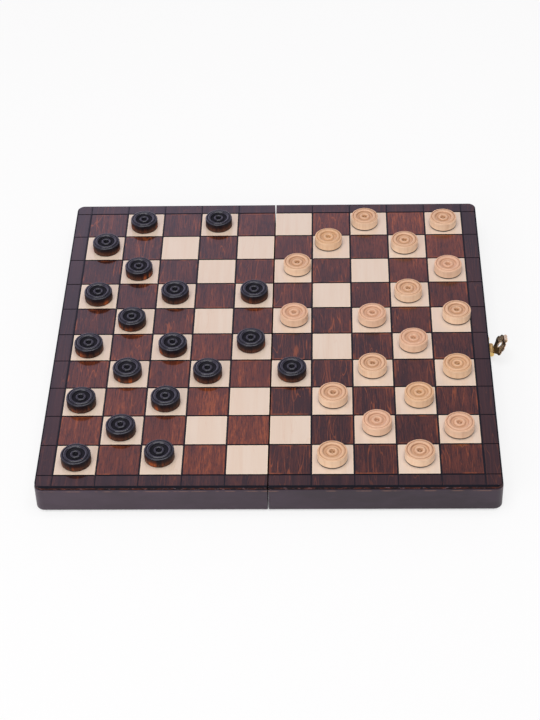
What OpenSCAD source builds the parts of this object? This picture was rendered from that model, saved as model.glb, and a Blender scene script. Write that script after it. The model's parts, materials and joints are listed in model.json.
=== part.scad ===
// Folding wooden box-board for ten-by-ten draughts, lying open with its magnetic men on it.
// Millimetres. +Z is up and the front is towards -Y. The origin is the middle of the fold,
// in the plane of the rims that the open board stands on.

/* [Board] */
// Side of one playing square
square_w = 32.4; // [28:0.1:42]
// Dark border outside the playing squares
border = 12.8; // [9:0.1:25]
// Gap between the two halves when the board lies open
seam_gap = 1; // [0.6:0.1:2]
// Radius of the outer corners, seen from above
corner_r = 6.5; // [4:0.5:7]
// Thickness of the plywood playing panels
panel_t = 3.4; // [2.8:0.1:6]
// Radius of the panels' top edges
panel_edge_r = 1.2; // [0.3:0.1:2.2]
// How far the panels stand back from the rails' outer faces
panel_inset = 0.4; // [0.1:0.1:1.2]
// Width of the scored grid lines
line_w = 0.9; // [0.5:0.1:2]
// Depth of the scored grid lines
line_d = 0.35; // [0.1:0.05:1]

/* [Rails] */
// Height of the rails under the panels
rail_h = 21; // [20:0.5:40]
// Thickness of the rails
rail_t = 8; // [7.5:0.5:14]
// Radius of the rails' upper outer edges
rail_top_r = 0.9; // [0.3:0.1:1.2]
// Radius of the rails' lower outer edges
rail_edge_r = 1.2; // [0.5:0.1:2.4]
// Radius of the rails' lower edges at the fold
fold_edge_r = 1; // [0.3:0.1:1.4]
// Radius of the rails' lower inner edges
rail_inner_r = 0.6; // [0.2:0.1:0.9]

/* [Inside the trays] */
// Thickness of the steel sheets that the men hold on to
steel_t = 0.5; // [0.3:0.1:1]
// Thickness of the felt lining
lining_t = 1.2; // [0.8:0.1:3]
// Room between a sheet's edges and the rails
sheet_gap = 0.3; // [0.2:0.1:1]

/* [Men] */
// Diameter of a man
man_d = 23; // [18:0.5:27]
// Height of a man
man_h = 8.4; // [7:0.1:14]
// Radius of a man's upper edge
man_edge_r = 0.9; // [0.4:0.1:1.2]
// How far a man's rim stays below its bead
rim_drop = 0.35; // [0.1:0.05:0.5]
// Depth of the turned dish inside the bead
dish_d = 1.5; // [1:0.1:2]
// Diameter of the magnet disc
magnet_d = 10; // [6:0.5:14]
// Thickness of the magnet disc
magnet_t = 2; // [1:0.1:3]
// Side clearance of a magnet in its pocket
magnet_gap = 0.1; // [0.05:0.05:0.3]

/* [Fold hinges] */
// Length of a butt hinge
hinge_len = 25; // [18:1:45]
// Distance of each hinge from the middle of the board
hinge_y = 112; // [60:1:130]
// Radius of the fold knuckles
fold_knuckle_r = 1.2; // [1.1:0.05:1.6]
// Radius of the fold pins
fold_pin_r = 0.5; // [0.4:0.05:0.7]
// How far a leaf reaches over the rail, from the fold
leaf_w = 6.6; // [5.5:0.1:7.2]
// Thickness of the leaves
leaf_t = 0.8; // [0.5:0.1:1]
// Gap that the folded rims keep between them
rim_gap = 0.3; // [0.2:0.1:0.6]

/* [Hasp] */
// Height of the hasp's axis above the rims
hasp_z = 5.4; // [4:0.1:6]
// Radius of the hasp's barrel
barrel_r = 2.2; // [1.8:0.1:2.8]
// Length of the hasp's barrel
barrel_len = 11.6; // [11:0.2:16]
// Length of the flap's own knuckle
flap_knuckle_len = 8; // [6:0.2:9]
// Radius of the hasp's pin
hasp_pin_r = 0.8; // [0.6:0.1:1.1]
// Thickness of the hasp's plate and flap
hasp_t = 0.6; // [0.5:0.1:1]
// Height of the fixed plate's top above the hasp's axis
plate_rise = 12; // [9:0.5:12.4]
// Angle of the resting flap above the horizontal
flap_angle = 50; // [20:1:80]
// Distance of the flap's hole from the hasp's axis
hole_s = 8.8; // [8.4:0.1:10]
// Radius of the ends of the flap's hole
hole_r = 2; // [1.8:0.1:2.3]
// How much longer than wide the flap's hole is
hole_stretch = 1; // [0.2:0.1:1.4]
// Reach of the flap's shoulder scallops from the hole
fan_r = 9.2; // [8.4:0.1:10.5]
// Reach of the flap's last scallops, beside the finger curl
fan_tip_r = 6.4; // [6:0.1:8]
// Distance of the finger curl from the hasp's axis
curl_s = 16.4; // [15.8:0.1:20]
// Outer radius of the finger curl
curl_r = 1.5; // [1.2:0.1:1.8]
// Length of the finger curl
curl_len = 6.4; // [3:0.2:7]
// Radius of the ball on the catch
catch_ball_r = 1.4; // [1:0.1:1.5]

/* [Hidden] */
$fn = 96;
eps = 0.01;
run_gap = 0.05;        // radial clearance of pins, nails and studs
side_gap = 0.2;        // end clearance between knuckles
files = 5;             // squares across one half
ranks = 10;            // squares from back to front
x0 = seam_gap / 2;
x1 = x0 + files * square_w + border;
half_y = ranks * square_w / 2 + border;
board_z = rail_h + panel_t;
fold_z = -rim_gap / 2;
man_r = man_d / 2;

// Hinge leaves and their nails
knuckle_room = 0.4;                        // round a knuckle, to the other leaf and the rail
leaf_x = fold_knuckle_r + knuckle_room;    // where a leaf's plate begins
mid_knuckle_len = hinge_len * 0.4;
end_knuckle_len = (hinge_len - mid_knuckle_len) / 2 - side_gap;
leaf_nail_y = hinge_len * 0.3;
leaf_nail_x = (leaf_x + leaf_w) / 2;
leaf_nail_r = 0.45;
leaf_nail_len = 6;
leaf_nail_head_r = 0.95;
leaf_nail_head_t = 0.3;

// Hasp plate and its nails
barrel_gap = 0.1;                          // between the barrel and the plate's plane
hasp_x = hasp_t + barrel_gap + barrel_r;   // the axis, out from the rail's face
skin = 0.05;                               // keeps flat faces off the barrel's tangents
plate_foot = barrel_r + 0.4;               // lower edge of the face plate, above the axis
plate_clip = 3;                            // clipped upper corners
plate_nail_r = 0.6;
plate_nail_len = 7;
plate_nail_head_r = 1.2;
plate_nail_head_t = 0.5;
plate_nail_side = 2.4;                     // from the face plate's sides
plate_nail_drop = 3;                       // from its top
plate_nail_y = barrel_len / 2 - plate_nail_side;
plate_nail_z = plate_rise - plate_nail_drop;

// Flap, from the axis outwards
base_t = flap_knuckle_len / 2;             // half the width at the barrel
root_s = 1;
neck_s = 1.8;
neck_t = base_t + 0.8;                     // half the width just outside the barrel
tip_len = 2.4;                             // straight sides before the curl
flank_r = 14;                              // hollow flanks before the shoulders
fan_from = 98;                             // angles of the first and last scallops at the hole
fan_to = 50;
lobe_r = 2.2;
lobes = 3;
flank_end = 150;                           // angle on the first scallop where its flank ends
collar_w = 0.8;                            // raised collar round the hole
ribs = 5;                                  // raised ribs on each side
rib_w = 0.5;
rib_h = 0.3;
rib_past = 0.8;                            // how far the ribs run past the scallops' middles
arc_r = 5.9;                               // raised arc across the ribs

// Catch
catch_z = hole_s - hasp_z - rim_gap;       // height above its own rim that meets the closed hole
catch_shank_r = 0.8;
catch_shank_len = 5;
catch_collar_r = 1.5;
catch_collar_t = 0.5;
catch_neck = 0.7;                          // from the closed flap to the ball
catch_ball_x = hasp_t + barrel_gap + catch_neck + catch_ball_r;

// Places of the men: row from the back, column from the left, nudge right, nudge back
DARK_LEFT = [
    [1, 2, 0, -1], [1, 4, 0, 0], [2, 1, 2, 0], [3, 2, 0, -1], [4, 1, 1, -2], [4, 3, 0, 0],
    [4, 5, 1, 0], [5, 2, -1, -2], [6, 1, -1, -2], [6, 3, 2, -2], [6, 5, 0, 3], [7, 2, 0, 0],
    [7, 4, -1, -1], [8, 1, -1, -2], [8, 3, 0, -1], [9, 2, 0, -1], [10, 1, 1, -1], [10, 3, -1, 3]
];
DARK_RIGHT = [[7, 6, 0, 0]];
LIGHT_RIGHT = [
    [1, 8, -4, 1], [1, 10, -1, -1], [2, 7, -3, 5], [2, 9, -3, 0], [3, 6, 3, 3], [3, 10, 0, -1],
    [4, 9, -2, 0], [5, 6, 1, 2], [5, 8, 0, 1], [5, 10, 4, 4], [6, 9, 0, 2], [7, 8, -1, 4],
    [7, 10, 1, 3], [8, 7, 0, 2], [8, 9, 2, 2], [9, 8, 1, 3], [9, 10, -1, 0], [10, 7, -1, 1],
    [10, 9, 0, 2]
];
DARK_PLACES = concat(DARK_LEFT, DARK_RIGHT);

function two(n) = n < 10 ? str("0", n) : str(n);
function names(stem, places) = [for (i = [1:len(places)]) str(stem, two(i))];
function seam_shift(column) = column > files ? x0 : -x0;
function place_x(p) = (p[1] - files - 0.5) * square_w + seam_shift(p[1]) + p[2];
function place_y(p) = (ranks / 2 + 0.5 - p[0]) * square_w + p[3];

DARK_NAMES = names("dark_man_", DARK_PLACES);
LIGHT_NAMES = names("light_man_", LIGHT_RIGHT);

// What rounding by r takes off the corner of a section at the origin
module round_off(r) {
    difference() {
        translate([-1, -1]) square(r + 1);
        translate([r, r]) circle(r);
    }
}

module at_men(places) {
    for (p = places)
        translate([place_x(p), place_y(p), board_z]) children();
}

// The right half is drawn where it lies, and the left half is its mirror image
module left_half() {
    mirror([1, 0, 0]) children();
}

// Panels

// Section across a panel, from its outer edge at x = 0 inwards to x = w
module panel_section(w) {
    difference() {
        square([w, panel_t]);
        translate([0, panel_t]) mirror([0, 1, 0]) round_off(panel_edge_r);
    }
}

module panel_corner(r) {
    rotate_extrude(angle = 90)
        difference() {
            square([r, panel_t]);
            translate([r, panel_t]) mirror([1, 0, 0]) mirror([0, 1, 0]) round_off(panel_edge_r);
        }
}

module panel_blank() {
    strip_x = x1 - corner_r;
    strip_w = corner_r - panel_inset;
    edge_y = half_y - panel_inset;
    // The main board, rounded along the front and the back
    for (m = [0, 1])
        mirror([0, m, 0])
            translate([x0, -edge_y, 0])
                rotate([90, 0, 90]) linear_extrude(strip_x - x0) panel_section(edge_y);
    // The outer strip between the corners
    translate([strip_x + strip_w, -half_y + corner_r, 0])
        rotate([90, 0, 180]) linear_extrude(2 * (half_y - corner_r)) panel_section(strip_w);
    for (m = [0, 1])
        mirror([0, m, 0])
            translate([strip_x, half_y - corner_r, 0]) panel_corner(strip_w);
}

// Scored lines bound every square and run on through the border to the edges
module grid_lines() {
    for (i = [1:files])
        translate([x0 + i * square_w - line_w / 2, -half_y - 1, panel_t - line_d])
            cube([line_w, 2 * half_y + 2, line_d + 1]);
    for (j = [-ranks / 2:ranks / 2])
        translate([x0 - 1, j * square_w - line_w / 2, panel_t - line_d])
            cube([x1 - x0 + 2, line_w, line_d + 1]);
}

module playing_panel() {
    color("#4a2a22")
        translate([0, 0, rail_h])
            difference() {
                panel_blank();
                grid_lines();
            }
}

// Linings and steel sheets

module tray_sheet(z, t) {
    inset = rail_t + sheet_gap;
    translate([x0 + inset, -half_y + inset, z])
        cube([x1 - x0 - 2 * inset, 2 * (half_y - inset), t]);
}

module steel_sheet() {
    color("#8d9196") tray_sheet(rail_h - steel_t, steel_t);
}

module lining() {
    color("#23402f") tray_sheet(rail_h - steel_t - lining_t, lining_t);
}

// Rails

// What rounding takes off a rail's outer edges, below and above
module outer_edges() {
    round_off(rail_edge_r);
    translate([0, rail_h]) mirror([0, 1, 0]) round_off(rail_top_r);
}

// Section across a rail, from its outer face at x = 0 inwards, less what the children draw
module rail_section() {
    difference() {
        square([rail_t, rail_h]);
        translate([rail_t, 0]) mirror([1, 0, 0]) round_off(rail_inner_r);
        children();
    }
}

// A bar along +X from x0 to the outer face, at the front of the half
module front_bar() {
    translate([x0, -half_y, 0]) rotate([90, 0, 90]) linear_extrude(x1 - x0) children();
}

// A bar from front to back, inwards from the fold
module fold_bar() {
    translate([x0, -half_y, 0]) mirror([1, 0, 0]) rotate([90, 0, 180]) linear_extrude(2 * half_y) children();
}

module rail_color() {
    color("#3b2723") children();
}

// Half of a rolled corner: the piece between the mitre and the straight rail
module corner_wedge() {
    rotate_extrude(angle = 45)
        difference() {
            square([corner_r, rail_h]);
            translate([corner_r, 0]) mirror([1, 0, 0]) outer_edges();
        }
}

// A rail's straight length, cut to a plan outline
module mitred(outline) {
    intersection() {
        children();
        translate([0, 0, -1]) linear_extrude(rail_h + 2) polygon(outline);
    }
}

module front_rail() {
    rail_color() {
        mitred([
            [x0, -half_y],
            [x1 - corner_r, -half_y],
            [x1 - corner_r, -half_y + corner_r],
            [x1 - rail_t, -half_y + rail_t],
            [x0 + rail_t, -half_y + rail_t]
        ])
            front_bar() rail_section() outer_edges();
        translate([x1 - corner_r, -half_y + corner_r, 0]) rotate([0, 0, -90]) corner_wedge();
    }
}

module back_rail() {
    mirror([0, 1, 0]) front_rail();
}

// The outer rail without the bores that its fittings need
module outer_rail_blank() {
    mitred([
        [x1, -half_y + corner_r],
        [x1, half_y - corner_r],
        [x1 - corner_r, half_y - corner_r],
        [x1 - rail_t, half_y - rail_t],
        [x1 - rail_t, -half_y + rail_t],
        [x1 - corner_r, -half_y + corner_r]
    ])
        translate([x1, -half_y, 0])
            rotate([90, 0, 180]) linear_extrude(2 * half_y) rail_section() outer_edges();
    for (m = [0, 1])
        mirror([0, m, 0])
            translate([x1 - corner_r, half_y - corner_r, 0]) corner_wedge();
}

module fold_rail() {
    rail_color()
        difference() {
            mitred([
                [x0, -half_y],
                [x0, half_y],
                [x0 + rail_t, half_y - rail_t],
                [x0 + rail_t, -half_y + rail_t]
            ])
                fold_bar() rail_section() round_off(fold_edge_r);
            for (m = [0, 1])
                mirror([0, m, 0]) front_bar() outer_edges();
            at_hinges() hinge_recess();
        }
}

// Fold hinges

module at_hinges() {
    for (side = [-1, 1])
        translate([0, side * hinge_y, 0]) children();
}

module along_y(length) {
    translate([0, length / 2, 0]) rotate([90, 0, 0]) linear_extrude(length) children();
}

// Seat for a leaf in the rim, room for the knuckles and the nails' holes
module hinge_recess() {
    translate([-eps, -hinge_len / 2 - run_gap, -1])
        cube([leaf_w + run_gap + eps, hinge_len + 2 * run_gap, leaf_t + 1]);
    translate([0, 0, fold_z]) along_y(hinge_len + 2 * side_gap) circle(leaf_x);
    for (side = [-1, 1])
        translate([leaf_nail_x, side * leaf_nail_y, 0])
            cylinder(r = leaf_nail_r + run_gap, h = leaf_nail_len + run_gap);
}

module knuckle(y, length) {
    translate([0, y, fold_z]) along_y(length) circle(fold_knuckle_r);
    translate([0, y - length / 2, 0]) cube([leaf_x + eps, length, leaf_t]);
}

// One leaf with the knuckles named by their middles and lengths
module leaf(knuckles) {
    difference() {
        union() {
            translate([leaf_x, -hinge_len / 2, 0]) cube([leaf_w - leaf_x, hinge_len, leaf_t]);
            for (k = knuckles)
                knuckle(k[0], k[1]);
        }
        translate([0, 0, fold_z]) along_y(hinge_len + 2) circle(fold_pin_r + run_gap);
        for (side = [-1, 1])
            translate([leaf_nail_x, side * leaf_nail_y, 0]) {
                translate([0, 0, -eps]) cylinder(r = leaf_nail_r + run_gap, h = leaf_t + 2 * eps);
                translate([0, 0, -eps])
                    cylinder(r = leaf_nail_head_r + run_gap, h = leaf_nail_head_t + run_gap + eps);
            }
    }
    for (side = [-1, 1])
        translate([leaf_nail_x, side * leaf_nail_y, 0]) leaf_nail();
}

module leaf_nail() {
    cylinder(r = leaf_nail_head_r, h = leaf_nail_head_t);
    cylinder(r = leaf_nail_r, h = leaf_nail_len);
}

module hinge_left_leaves() {
    color("#b08d4c") left_half() at_hinges() leaf([[0, mid_knuckle_len]]);
}

module hinge_right_leaves() {
    end_y = (hinge_len - end_knuckle_len) / 2;
    color("#b08d4c") at_hinges() leaf([[-end_y, end_knuckle_len], [end_y, end_knuckle_len]]);
}

module hinge_pins() {
    color("#c9a45c") {
        at_hinges()
            translate([0, 0, fold_z]) along_y(hinge_len) circle(fold_pin_r);
        at_hasp_axis() along_y(barrel_len) circle(hasp_pin_r);
    }
}

// Hasp

module at_hasp_axis() {
    translate([x1 + hasp_x, 0, hasp_z]) children();
}

module at_plate_nails() {
    for (side = [-1, 1])
        translate([x1, side * plate_nail_y, hasp_z + plate_nail_z]) rotate([0, 90, 0]) children();
}

module hasp_plate() {
    end_len = (barrel_len - flap_knuckle_len) / 2 - side_gap;
    end_y = (barrel_len - end_len) / 2;
    color("#a5803f") {
        difference() {
            union() {
                // Face plate above the barrel, with clipped upper corners
                translate([x1, 0, hasp_z])
                    rotate([90, 0, 90]) linear_extrude(hasp_t) plate_outline();
                for (side = [-1, 1]) {
                    translate([x1, side * end_y - end_len / 2, hasp_z + barrel_r - skin - hasp_t])
                        cube([hasp_x, end_len, hasp_t]);
                    translate([x1, side * end_y - end_len / 2, hasp_z + barrel_r - skin - hasp_t])
                        cube([hasp_t, end_len, plate_foot + 1 - barrel_r + hasp_t]);
                    at_hasp_axis() translate([0, side * end_y, 0]) along_y(end_len) circle(barrel_r);
                }
            }
            at_hasp_axis() along_y(barrel_len + 2) circle(hasp_pin_r + run_gap);
            at_plate_nails() translate([0, 0, -1]) cylinder(r = plate_nail_r + run_gap, h = hasp_t + 2);
        }
        at_plate_nails() plate_nail();
    }
}

module plate_outline() {
    half = barrel_len / 2;
    shoulder = plate_rise - plate_clip;
    polygon([
        [-half, plate_foot], [half, plate_foot], [half, shoulder],
        [half - plate_clip, plate_rise], [-half + plate_clip, plate_rise], [-half, shoulder]
    ]);
}

module plate_nail() {
    head_z = hasp_t + run_gap;
    translate([0, 0, -plate_nail_len])
        cylinder(r = plate_nail_r, h = plate_nail_len + head_z + plate_nail_head_t / 2);
    translate([0, 0, head_z])
        cylinder(r1 = plate_nail_head_r, r2 = plate_nail_head_r * 0.6, h = plate_nail_head_t);
}

// The scallops and the ribs spread round the hole like a fan. u runs from the shoulder, 0, to the curl, 1
function fan_angle(u) = fan_from + u * (fan_to - fan_from);
function fan_reach(u) = fan_r + u * (fan_tip_r - fan_r);
function fan_place(u) = [hole_s, 0] + fan_reach(u) * [cos(fan_angle(u)), sin(fan_angle(u))];

// Where a flank meets the shoulder scallop
function shoulder() = fan_place(0) + lobe_r * [cos(flank_end), sin(flank_end)];

// Middle of the circle that hollows a flank between the neck and the shoulder
function flank_middle() =
    let (a = [neck_s, neck_t], b = shoulder(), run = b - a, half = norm(run) / 2)
    (a + b) / 2 + [-run[1], run[0]] / norm(run) * sqrt(flank_r * flank_r - half * half);

// Corners of one side of the flap: x is the distance from the axis and y the half width
function flap_side() = concat(
    [[root_s, base_t], [neck_s, base_t], [neck_s, neck_t], shoulder()],
    [for (i = [0:lobes - 1]) fan_place(i / (lobes - 1))],
    [[curl_s - tip_len, curl_len / 2], [curl_s, curl_len / 2]]
);

module flap_outline() {
    side = flap_side();
    other = [for (i = [len(side) - 1:-1:0]) [side[i][0], -side[i][1]]];
    difference() {
        union() {
            polygon(concat(side, other));
            for (m = [0, 1])
                mirror([0, m, 0])
                    for (i = [0:lobes - 1])
                        translate(fan_place(i / (lobes - 1))) circle(lobe_r);
        }
        for (m = [0, 1])
            mirror([0, m, 0]) translate(flank_middle()) circle(flank_r);
        flap_hole(hole_r);
    }
}

// The hole is a short slot, so that the catch finds it
module flap_hole(r) {
    for (side = [-1, 1])
        translate([hole_s + side * hole_stretch / 2, 0]) circle(r);
    translate([hole_s - hole_stretch / 2, -r]) square([hole_stretch, 2 * r]);
}

// Raised collar, ribs from it out to the scallops, and an arc across the ribs
module flap_relief() {
    difference() {
        flap_hole(hole_r + collar_w);
        flap_hole(hole_r);
    }
    rib_start = hole_r + collar_w * 0.75;
    first = [cos(fan_from), sin(fan_from)];
    last = [cos(fan_to), sin(fan_to)];
    for (m = [0, 1])
        mirror([0, m, 0]) translate([hole_s, 0]) {
            for (i = [0:ribs - 1])
                rotate([0, 0, fan_angle(i / (ribs - 1))])
                    translate([rib_start, -rib_w / 2])
                        square([fan_reach(i / (ribs - 1)) + rib_past - rib_start, rib_w]);
            intersection() {
                difference() {
                    circle(arc_r + rib_w / 2);
                    circle(arc_r - rib_w / 2);
                }
                polygon([[0, 0], 2 * arc_r * last, 2 * arc_r * first]);
            }
        }
}

// The curl at the tip, rolled back over the outer face
module curl_section() {
    difference() {
        circle(curl_r);
        circle(curl_r - hasp_t);
        translate([-curl_r - 1, 0]) square(curl_r + 1);
    }
}

module hasp_flap() {
    leaf_z = -barrel_r + skin;
    color("#6d5a3a")
        at_hasp_axis() rotate([0, -flap_angle, 0])
            difference() {
                union() {
                    along_y(flap_knuckle_len) circle(barrel_r);
                    translate([0, 0, leaf_z]) linear_extrude(hasp_t) flap_outline();
                    translate([0, -base_t, leaf_z]) cube([root_s + eps, flap_knuckle_len, hasp_t]);
                    translate([0, 0, leaf_z + hasp_t - eps]) linear_extrude(rib_h) flap_relief();
                    translate([curl_s, 0, leaf_z + curl_r - skin]) along_y(curl_len) curl_section();
                }
                along_y(barrel_len) circle(hasp_pin_r + run_gap);
            }
}

// A turned stud driven into the rail, which the flap's hole passes over
module hasp_catch() {
    color("#a5803f")
        left_half()
            translate([x1, 0, catch_z]) rotate([0, 90, 0]) {
                translate([0, 0, -catch_shank_len])
                    cylinder(r = catch_shank_r, h = catch_shank_len + catch_ball_x);
                translate([0, 0, run_gap]) cylinder(r = catch_collar_r, h = catch_collar_t);
                translate([0, 0, catch_ball_x]) sphere(catch_ball_r);
            }
}

module left_outer_rail() {
    rail_color()
        left_half()
            difference() {
                outer_rail_blank();
                translate([x1 + 1, 0, catch_z]) rotate([0, -90, 0])
                    cylinder(r = catch_shank_r + run_gap, h = catch_shank_len + run_gap + 1);
            }
}

module right_outer_rail() {
    rail_color()
        difference() {
            outer_rail_blank();
            at_plate_nails()
                translate([0, 0, -plate_nail_len - run_gap])
                    cylinder(r = plate_nail_r + run_gap, h = plate_nail_len + 1);
        }
}

// Men

// Half section of a man: rolled rim, groove, bead, dish, inner ring, dimple and pip
module man_section() {
    bead_at = 0.73 * man_r;
    bead_r = 0.13 * man_r;
    ring_at = 0.28 * man_r;
    ring_r = 0.11 * man_r;
    ring_sink = 0.2;
    dimple_r = ring_at - 0.8 * ring_r;
    dimple_d = 0.5;
    pip_r = 0.05 * man_r;
    pip_h = 0.5;
    pip_edge_r = 0.3;
    wall_at = bead_at + bead_r - 0.2;
    groove_r = 0.35;
    foot_r = 0.4;
    floor_z = man_h - dish_d;
    rim_z = man_h - rim_drop;
    difference() {
        union() {
            square([man_r, floor_z]);
            translate([bead_at, man_h - bead_r]) circle(bead_r);
            translate([ring_at, floor_z - ring_sink]) circle(ring_r);
            translate([wall_at, floor_z - eps]) square([man_r - wall_at, rim_z - floor_z + eps]);
        }
        translate([wall_at, rim_z]) circle(groove_r);
        translate([man_r, rim_z]) mirror([1, 0, 0]) mirror([0, 1, 0]) round_off(man_edge_r);
        translate([man_r, 0]) mirror([1, 0, 0]) round_off(foot_r);
        translate([-1, floor_z - dimple_d]) square([dimple_r + 1, dimple_d + 1]);
        translate([-1, -1]) square([magnet_d / 2 + magnet_gap + 1, magnet_t + 1]);
    }
    translate([0, floor_z - dimple_d - eps])
        difference() {
            square([pip_r, pip_h + eps]);
            translate([pip_r, pip_h + eps]) mirror([1, 0, 0]) mirror([0, 1, 0]) round_off(pip_edge_r);
        }
}

module man() {
    rotate_extrude() man_section();
}

module dark_man(i) {
    color("#221f22") at_men([DARK_PLACES[i]]) man();
}

module light_man(i) {
    color("#d9ae82") at_men([LIGHT_RIGHT[i]]) man();
}

module magnets(places) {
    color("#9a9da1") at_men(places) cylinder(d = magnet_d, h = magnet_t);
}

left_half() playing_panel();  // left_panel
playing_panel();  // right_panel
left_half() steel_sheet();  // left_steel_sheet
steel_sheet();  // right_steel_sheet
left_half() lining();  // left_lining
lining();  // right_lining
left_half() front_rail();  // left_front_rail
left_half() back_rail();  // left_back_rail
left_outer_rail();
left_half() fold_rail();  // left_fold_rail
front_rail();  // right_front_rail
back_rail();  // right_back_rail
right_outer_rail();
fold_rail();  // right_fold_rail
hinge_left_leaves();
hinge_right_leaves();
hinge_pins();
hasp_plate();
hasp_flap();
hasp_catch();
magnets(DARK_LEFT);  // left_men_magnets
magnets(concat(DARK_RIGHT, LIGHT_RIGHT));  // right_men_magnets
for (i = [0:len(DARK_PLACES) - 1])
    dark_man(i);
for (i = [0:len(LIGHT_RIGHT) - 1])
    light_man(i);
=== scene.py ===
import json
import math

import bmesh
import bpy
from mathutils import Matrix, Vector, noise

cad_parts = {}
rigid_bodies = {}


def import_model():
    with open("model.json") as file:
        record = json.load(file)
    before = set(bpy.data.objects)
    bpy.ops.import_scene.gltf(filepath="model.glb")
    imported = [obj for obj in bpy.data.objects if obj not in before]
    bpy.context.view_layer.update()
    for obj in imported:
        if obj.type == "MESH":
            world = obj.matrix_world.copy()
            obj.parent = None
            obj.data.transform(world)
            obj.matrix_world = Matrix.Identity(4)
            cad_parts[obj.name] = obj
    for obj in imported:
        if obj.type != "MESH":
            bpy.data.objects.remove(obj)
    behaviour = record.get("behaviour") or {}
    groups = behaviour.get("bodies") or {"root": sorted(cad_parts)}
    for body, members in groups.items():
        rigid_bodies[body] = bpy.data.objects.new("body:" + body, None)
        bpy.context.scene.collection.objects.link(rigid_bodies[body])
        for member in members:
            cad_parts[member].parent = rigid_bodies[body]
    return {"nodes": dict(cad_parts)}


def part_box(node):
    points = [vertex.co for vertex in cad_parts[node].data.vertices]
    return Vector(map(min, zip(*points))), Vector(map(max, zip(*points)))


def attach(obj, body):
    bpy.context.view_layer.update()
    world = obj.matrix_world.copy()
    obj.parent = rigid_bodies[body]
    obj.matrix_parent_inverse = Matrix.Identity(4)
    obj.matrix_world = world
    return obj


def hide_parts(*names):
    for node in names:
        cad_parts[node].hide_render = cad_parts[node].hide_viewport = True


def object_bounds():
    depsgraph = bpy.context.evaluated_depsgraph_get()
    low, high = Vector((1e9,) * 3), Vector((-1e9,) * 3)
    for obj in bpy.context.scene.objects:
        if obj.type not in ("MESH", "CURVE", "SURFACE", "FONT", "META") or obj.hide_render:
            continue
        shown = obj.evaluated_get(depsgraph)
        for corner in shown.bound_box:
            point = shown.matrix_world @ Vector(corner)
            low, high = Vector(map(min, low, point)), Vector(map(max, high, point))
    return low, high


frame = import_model()
nodes = frame["nodes"]
cadLow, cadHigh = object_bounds()
mm = 0.001

# Camera and studio. Pixels count in a picture of 540 x 720, and the sensor's 36 mm lie along its height.
camera = {
    "place": (0.0458, -1.1540, 1.0155),
    "turn": (0.8472, 0.0248, 0.0199),
    "focalPixels": 1873.5,
    "pictureHeight": 720,
    "sensor": 36,
    "clip": (0.05, 50),
}
studio = {
    "white": "#ffffff",
    "floorSize": 8,
    "floorDrop": 0.02 * mm,      # from the lowest point of the set
    "floorColor": "#f4f3f2",
    "floorWhite": 0.8,           # how far the floor is plain white to the camera
    "floorShutIn": 20 * mm,      # how near a thing shades the white
    "floorOpen": (0.04, 0.30),   # openness at which the white starts, and where it is full
    "floorSamples": 6,
    "skyLow": "#ffffff",
    "skyHigh": "#8f8b94",
    "skyTop": 0.9,               # heights of the sky are sines of the elevation
    "skyStrength": 0.83,
    "sheen": "#e8deff",          # the sky's glossy band, which the lacquer mirrors
    "sheenStrength": 1.06,
    "sheenBand": (0.52, 0.80, 1.0, 0.35),     # heights, and the strength at each
    "sheenSide": (-0.16, 0.10, 1.36, 0.76),   # from left to right, and the strength at each
    "topBox": ((0, -0.1, 1.8), (1.6, 1.2), 21.3),        # place, size and watts
    "frontBox": ((-1.0, -1.6, 0.9), (1.2, 0.8), 12),
}


def paint(code):
    # a screen colour such as #aabbcc as the linear colour that shaders want
    parts = [int(code[i : i + 2], 16) / 255 for i in (1, 3, 5)]
    return tuple(p / 12.92 if p <= 0.04045 else ((p + 0.055) / 1.055) ** 2.4 for p in parts) + (1.0,)


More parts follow.
